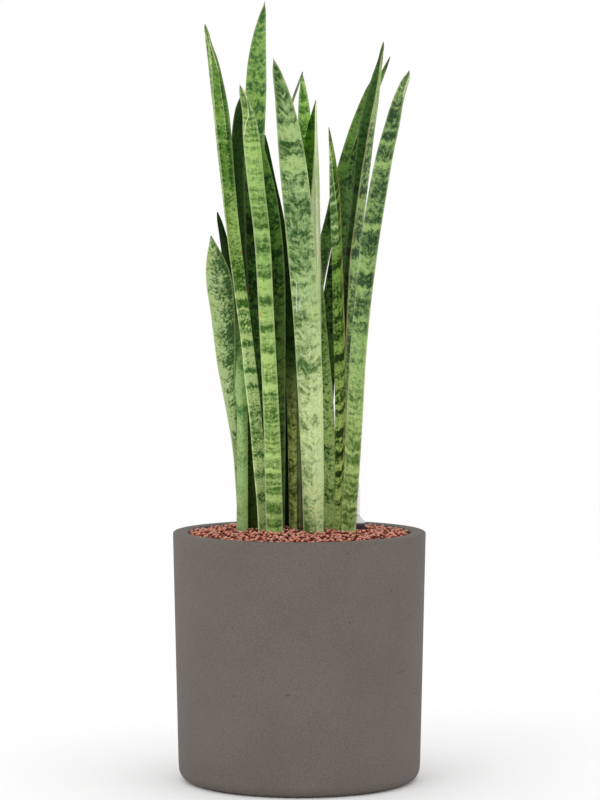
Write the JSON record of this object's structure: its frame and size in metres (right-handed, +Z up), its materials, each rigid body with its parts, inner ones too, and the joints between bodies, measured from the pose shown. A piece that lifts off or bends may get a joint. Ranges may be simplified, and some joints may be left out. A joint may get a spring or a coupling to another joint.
{
  "type": "potted ceylon bowstring hemp",
  "caption": "Upright banded sword-shaped leaves in a round tapered concrete planter filled with clay granules, with a clear-topped water gauge whose float rises and falls.",
  "frame": {"origin": "middle of the planter's flat underside", "axes": "+Z up the plant, -Y towards the front, +X to the right of someone facing it"},
  "size_m": [0.2998, 0.2998, 0.9268],
  "materials": {
    "concrete": "matt, finely speckled, with small pits",
    "pot_plastic": "satin",
    "clay_granules": "matt, fired clay",
    "root": "matt",
    "leaf": "waxy, with dark cross-bands",
    "gauge_dark": "satin, dark aubergine",
    "gauge_clear": "clear",
    "float_orange": "satin"
  },
  "bodies": {
    "pot": {"planter": "concrete", "culture_pot": "pot_plastic", "granules_lower": "clay_granules", "granules_inner": "clay_granules", "granules_top": "clay_granules", "rootstock": "root", "leaf_left_tall": "leaf", "leaf_back_tallest": "leaf", "leaf_front_left": "leaf", "leaf_left_rear": "leaf", "leaf_left_slim": "leaf", "leaf_left_short": "leaf", "leaf_middle_left": "leaf", "leaf_middle_slim": "leaf", "leaf_back_middle": "leaf", "leaf_front_wide": "leaf", "leaf_middle_folded": "leaf", "leaf_middle_right": "leaf", "leaf_middle_edge": "leaf", "leaf_right_slim": "leaf", "leaf_right_rear": "leaf", "leaf_right_folded": "leaf", "leaf_right_leaning": "leaf", "leaf_right_outer": "leaf", "gauge_sleeve": "gauge_dark", "gauge_window": "gauge_clear"},
    "float": {"gauge_float": "float_orange"}
  },
  "joints": [
    {"name": "float_slide", "type": "slide", "parent": "pot", "child": "float", "axis": [0, 0, 1], "range_m": [0, 0.034]}
  ]
}
